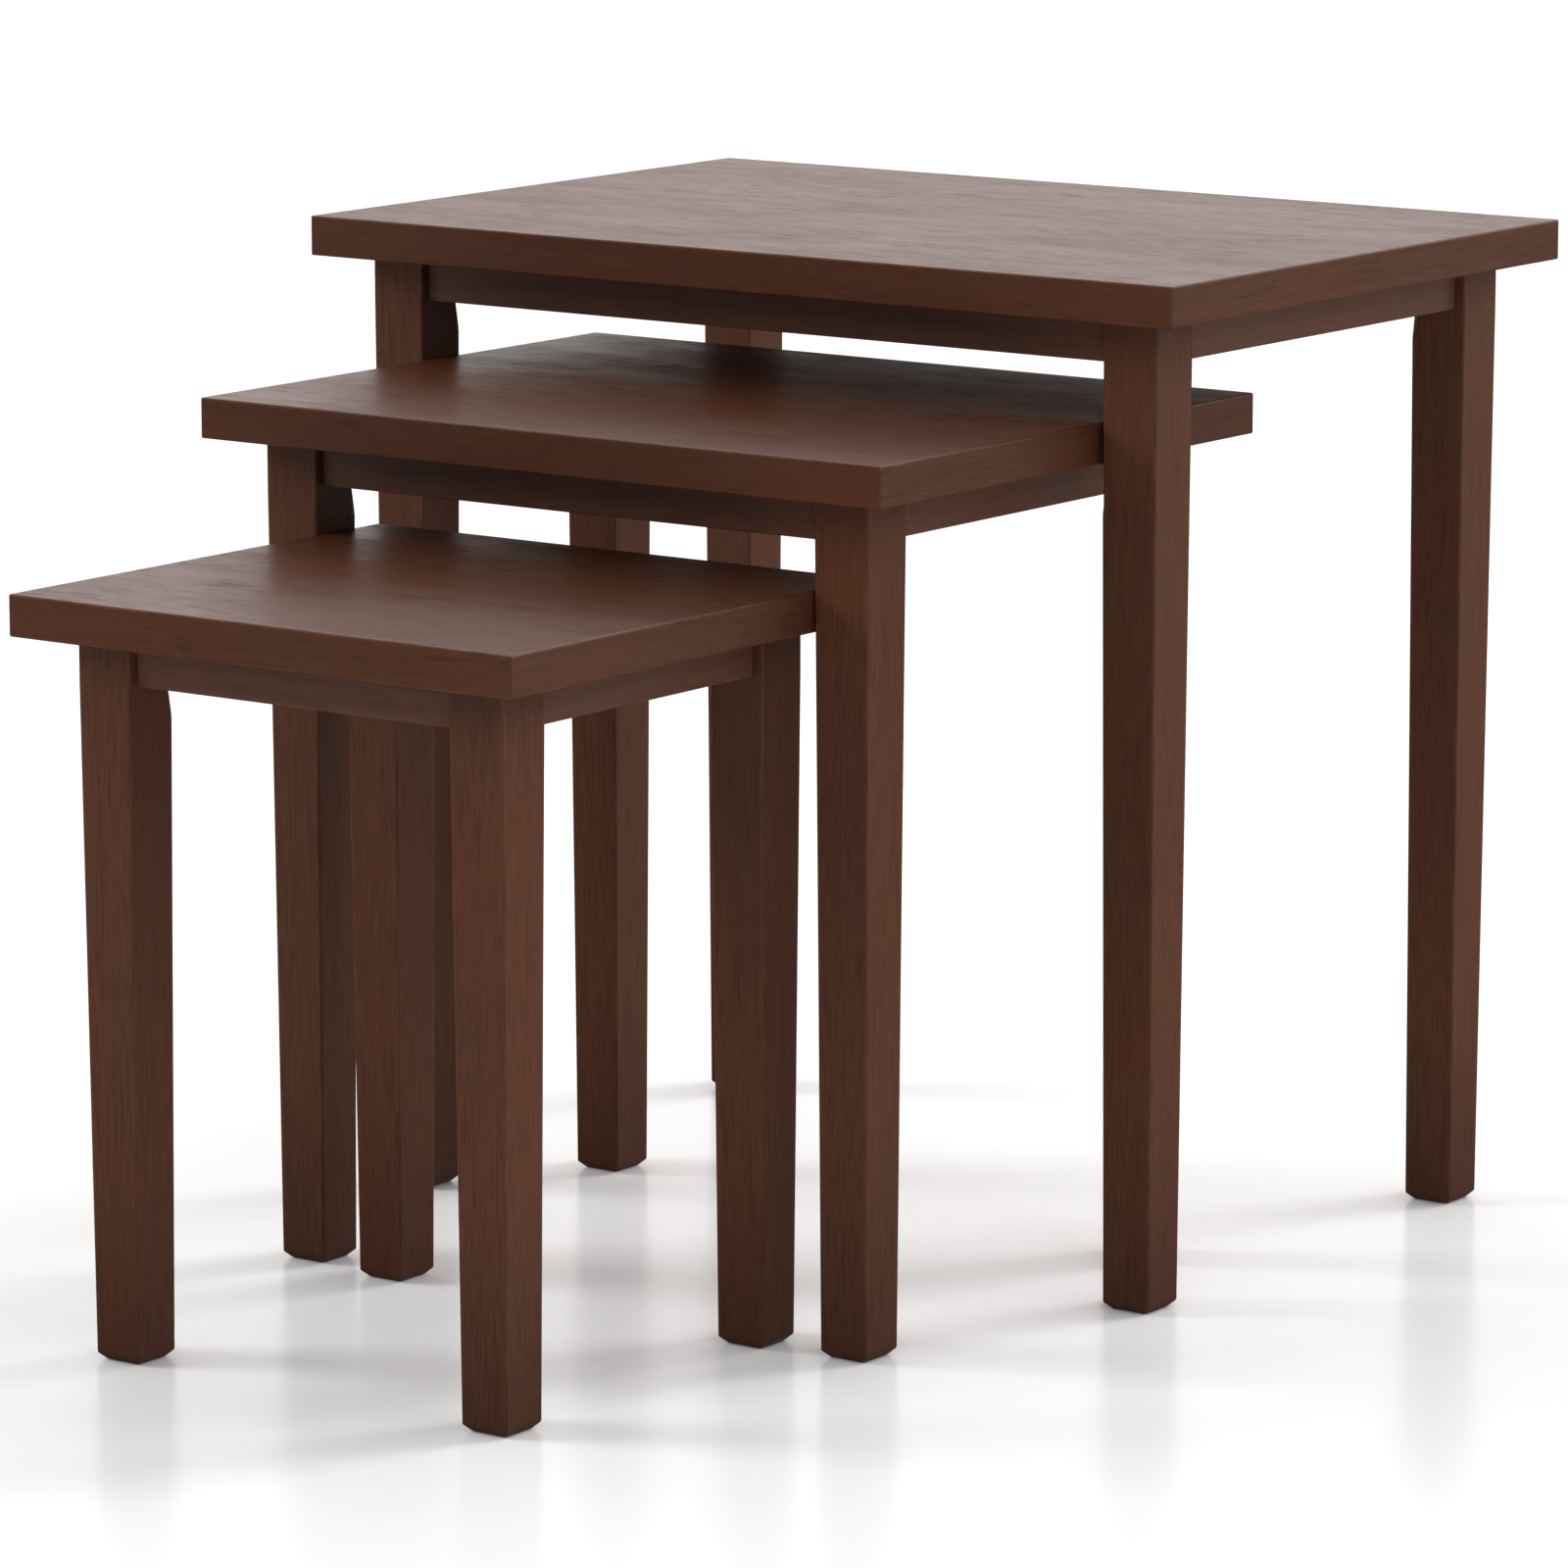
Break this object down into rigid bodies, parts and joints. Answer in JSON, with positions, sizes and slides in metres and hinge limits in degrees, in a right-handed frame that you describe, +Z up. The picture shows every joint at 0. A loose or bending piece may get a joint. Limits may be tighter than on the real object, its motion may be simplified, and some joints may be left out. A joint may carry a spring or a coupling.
{
  "type": "nesting tables",
  "caption": "Set of rectangular wooden side tables in stepped sizes, each on four tapered square legs with aprons, that slide in under one another.",
  "frame": {"origin": "on the floor, in the middle of the ground covered by the set, drawn out part way", "axes": "+X to the right along the long side of the tops, -Y towards the front, the way the smaller tables draw out, +Z up"},
  "size_m": [0.524, 0.7202, 0.508],
  "materials": {
    "top_wood": "dark brown stained hardwood veneer, satin lacquer",
    "apron_wood": "dark brown stained solid wood, satin lacquer",
    "leg_wood": "dark brown stained solid wood with fine open grain, satin lacquer",
    "block_wood": "dark brown stained solid wood, unpolished",
    "bolt_steel": "bright zinc plated",
    "screw_steel": "yellow zinc plated"
  },
  "bodies": {
    "large_table": {"large_top_panel": "top_wood", "large_apron_right": "apron_wood", "large_apron_back": "apron_wood", "large_apron_left": "apron_wood", "large_apron_front": "apron_wood", "large_leg_front_left": "leg_wood", "large_leg_front_right": "leg_wood", "large_leg_back_right": "leg_wood", "large_leg_back_left": "leg_wood", "large_corner_block_front_left": "block_wood", "large_corner_block_front_right": "block_wood", "large_corner_block_back_right": "block_wood", "large_corner_block_back_left": "block_wood", "large_hanger_bolts": "bolt_steel", "large_washers": "bolt_steel", "large_nuts": "bolt_steel", "large_top_screws": "screw_steel", "large_block_screws": "screw_steel"},
    "medium_table": {"medium_top_panel": "top_wood", "medium_apron_right": "apron_wood", "medium_apron_back": "apron_wood", "medium_apron_left": "apron_wood", "medium_apron_front": "apron_wood", "medium_leg_front_left": "leg_wood", "medium_leg_front_right": "leg_wood", "medium_leg_back_right": "leg_wood", "medium_leg_back_left": "leg_wood", "medium_corner_block_front_left": "block_wood", "medium_corner_block_front_right": "block_wood", "medium_corner_block_back_right": "block_wood", "medium_corner_block_back_left": "block_wood", "medium_hanger_bolts": "bolt_steel", "medium_washers": "bolt_steel", "medium_nuts": "bolt_steel", "medium_top_screws": "screw_steel", "medium_block_screws": "screw_steel"},
    "small_table": {"small_top_panel": "top_wood", "small_apron_right": "apron_wood", "small_apron_back": "apron_wood", "small_apron_left": "apron_wood", "small_apron_front": "apron_wood", "small_leg_front_left": "leg_wood", "small_leg_front_right": "leg_wood", "small_leg_back_right": "leg_wood", "small_leg_back_left": "leg_wood", "small_corner_block_front_left": "block_wood", "small_corner_block_front_right": "block_wood", "small_corner_block_back_right": "block_wood", "small_corner_block_back_left": "block_wood", "small_hanger_bolts": "bolt_steel", "small_washers": "bolt_steel", "small_nuts": "bolt_steel", "small_top_screws": "screw_steel", "small_block_screws": "screw_steel"}
  },
  "joints": [
    {"name": "medium_slide", "type": "slide", "parent": "large_table", "child": "medium_table", "axis": [0, -1, 0], "range_m": [-0.176, 0.185]},
    {"name": "small_slide", "type": "slide", "parent": "large_table", "child": "small_table", "axis": [0, -1, 0], "range_m": [-0.4035, 0.265]}
  ]
}
